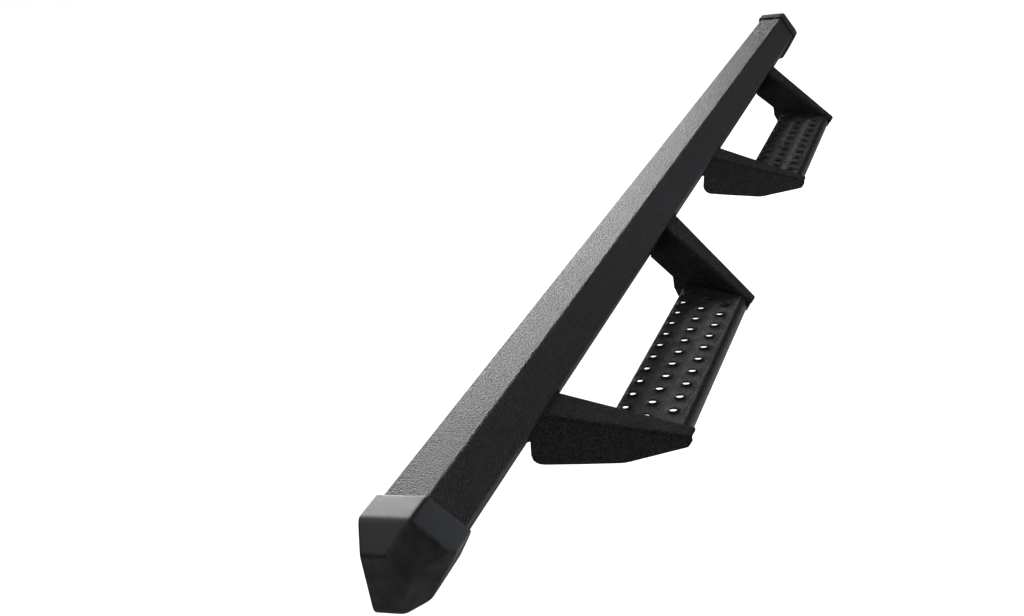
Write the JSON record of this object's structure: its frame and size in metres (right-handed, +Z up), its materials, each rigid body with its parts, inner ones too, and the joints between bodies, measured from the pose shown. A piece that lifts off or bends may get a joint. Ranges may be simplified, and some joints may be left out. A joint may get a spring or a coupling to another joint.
{
  "type": "running board",
  "caption": "Long half-hexagon tube with faceted end caps and two drop-down steps on folded brackets, which bolts along the side of a pickup truck.",
  "frame": {"origin": "middle of the flat back, which faces the vehicle: halfway along the board and halfway up the tube", "axes": "+X along the board, towards the end that is farther from its nearest step; +Y to the vehicle; +Z up as installed"},
  "size_m": [2.2034, 0.1985, 0.1375],
  "materials": {
    "powder_coat": "black textured powder coat, fine grain",
    "cap_plastic": "black moulded plastic, satin and faintly mottled",
    "zinc": "bright zinc plate"
  },
  "bodies": {
    "root": {"outer_shell": "powder_coat", "mounting_plate": "powder_coat", "rear_step_bracket_rear": "powder_coat", "rear_step_bracket_front": "powder_coat", "front_step_bracket_rear": "powder_coat", "front_step_bracket_front": "powder_coat", "rear_step_tread": "powder_coat", "front_step_tread": "powder_coat", "end_cap_rear": "cap_plastic", "end_cap_front": "cap_plastic", "threaded_insert_rear_upper": "zinc", "threaded_insert_rear_lower": "zinc", "threaded_insert_middle_upper": "zinc", "threaded_insert_middle_lower": "zinc", "threaded_insert_front_upper": "zinc", "threaded_insert_front_lower": "zinc", "cap_screw_rear_upper": "zinc", "cap_screw_rear_lower": "zinc", "cap_screw_front_upper": "zinc", "cap_screw_front_lower": "zinc"}
  },
  "joints": []
}
